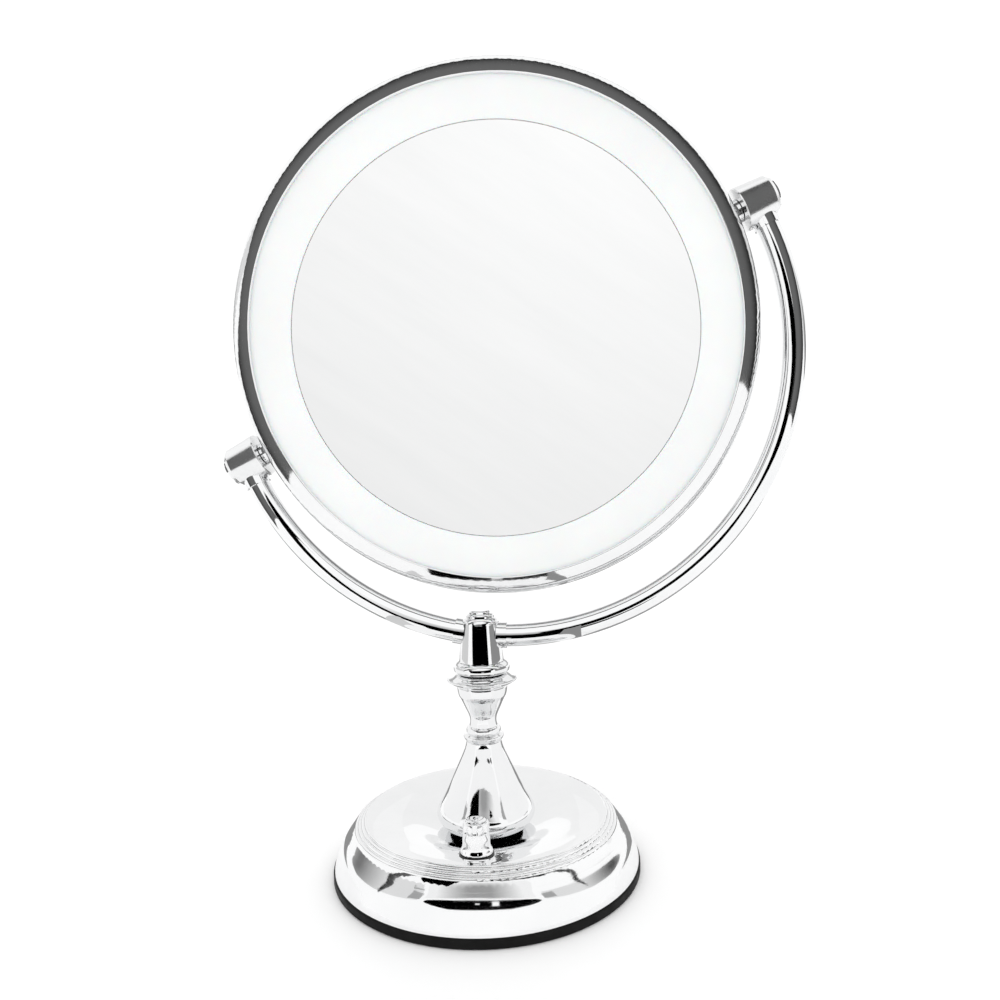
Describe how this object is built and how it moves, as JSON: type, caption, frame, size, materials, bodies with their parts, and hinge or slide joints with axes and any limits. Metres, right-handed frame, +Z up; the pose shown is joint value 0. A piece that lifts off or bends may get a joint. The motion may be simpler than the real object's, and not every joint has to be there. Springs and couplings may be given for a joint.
{
  "type": "lighted vanity mirror",
  "caption": "Round two-sided lighted mirror hung in a bent tube yoke on a turned chrome stem, with a weighted round base and a rotary dimmer knob.",
  "frame": {"origin": "centre of the base's flat underside, on the stem's axis", "axes": "+Z up, -Y towards the user (the front mirror faces -Y), +X to the user's right; the yoke lies in the XZ plane"},
  "size_m": [0.2896, 0.15, 0.3896],
  "materials": {
    "bezel_chrome": "chrome-plated spun steel, mirror bright",
    "polished_chrome": "polished chrome plate",
    "mirror_glass": "silvered glass with a ground edge",
    "opal_light_ring": "opal acrylic, satin face, lit evenly from behind",
    "foam_tape": "closed-cell foam tape",
    "white_core": "white moulded ABS",
    "circuit_board": "white solder mask over glass-fibre board",
    "led_chips": "yellow phosphor under clear resin",
    "zinc_steel": "zinc-plated steel",
    "white_connector": "nylon connector block",
    "nylon": "natural nylon",
    "lead_jacket": "black flexible jacket",
    "black_foot": "black moulded rubber, satin",
    "black_plate": "black painted steel sheet",
    "foam_pad": "black closed-cell foam",
    "cast_ballast": "rough cast iron",
    "black_switch": "black moulded phenolic",
    "black_washer": "black nylon washer"
  },
  "bodies": {
    "stand": {"yoke_tube": "polished_chrome", "left_hub": "polished_chrome", "right_hub": "polished_chrome", "left_hub_cap": "polished_chrome", "right_hub_cap": "polished_chrome", "pivot_bushes": "nylon", "tube_ferrules": "polished_chrome", "yoke_collar": "polished_chrome", "collar_cap": "polished_chrome", "collar_bead": "polished_chrome", "saucer": "polished_chrome", "goblet": "polished_chrome", "stem_bead": "polished_chrome", "stem_ring": "polished_chrome", "stem_foot": "polished_chrome", "tie_rod": "zinc_steel", "rod_washer": "zinc_steel", "rod_nut": "zinc_steel", "base_shell": "polished_chrome", "foot_ring": "black_foot", "bottom_plate": "black_plate", "base_pad": "foam_pad", "ballast": "cast_ballast", "plate_screws": "zinc_steel", "dimmer_switch": "black_switch", "dimmer_nut": "zinc_steel", "knob_washer": "black_washer", "dimmer_board": "circuit_board", "board_parts": "black_switch", "power_inlet": "black_switch", "inlet_nut": "zinc_steel", "inlet_lead": "lead_jacket", "stand_lead": "lead_jacket"},
    "head": {"front_bezel": "bezel_chrome", "rear_bezel": "bezel_chrome", "front_mirror": "mirror_glass", "rear_mirror": "mirror_glass", "front_light_ring": "opal_light_ring", "rear_light_ring": "opal_light_ring", "front_mirror_tape": "foam_tape", "rear_mirror_tape": "foam_tape", "reflector_core": "white_core", "front_led_board": "circuit_board", "rear_led_board": "circuit_board", "front_leds": "led_chips", "rear_leds": "led_chips", "front_board_screws": "zinc_steel", "rear_board_screws": "zinc_steel", "bezel_screws": "zinc_steel", "board_connector": "white_connector", "left_pivot_pin": "zinc_steel", "right_pivot_pin": "zinc_steel", "pivot_lock_nuts": "zinc_steel", "pivot_end_nuts": "zinc_steel", "disc_springs": "zinc_steel", "pivot_spacers": "polished_chrome", "head_lead": "lead_jacket"},
    "knob": {"dimmer_knob": "polished_chrome", "dimmer_shaft": "zinc_steel"}
  },
  "joints": [
    {"name": "head_tilt", "type": "hinge", "parent": "stand", "child": "head", "pos_m": [0.012, 0, 0.261], "axis": [0.91, 0, 0.4147], "range_deg": [-180, 180]},
    {"name": "dimmer_turn", "type": "hinge", "parent": "stand", "child": "knob", "pos_m": [0, -0.0455, 0], "axis": [0, 0, -1], "range_deg": [0, 270]}
  ]
}
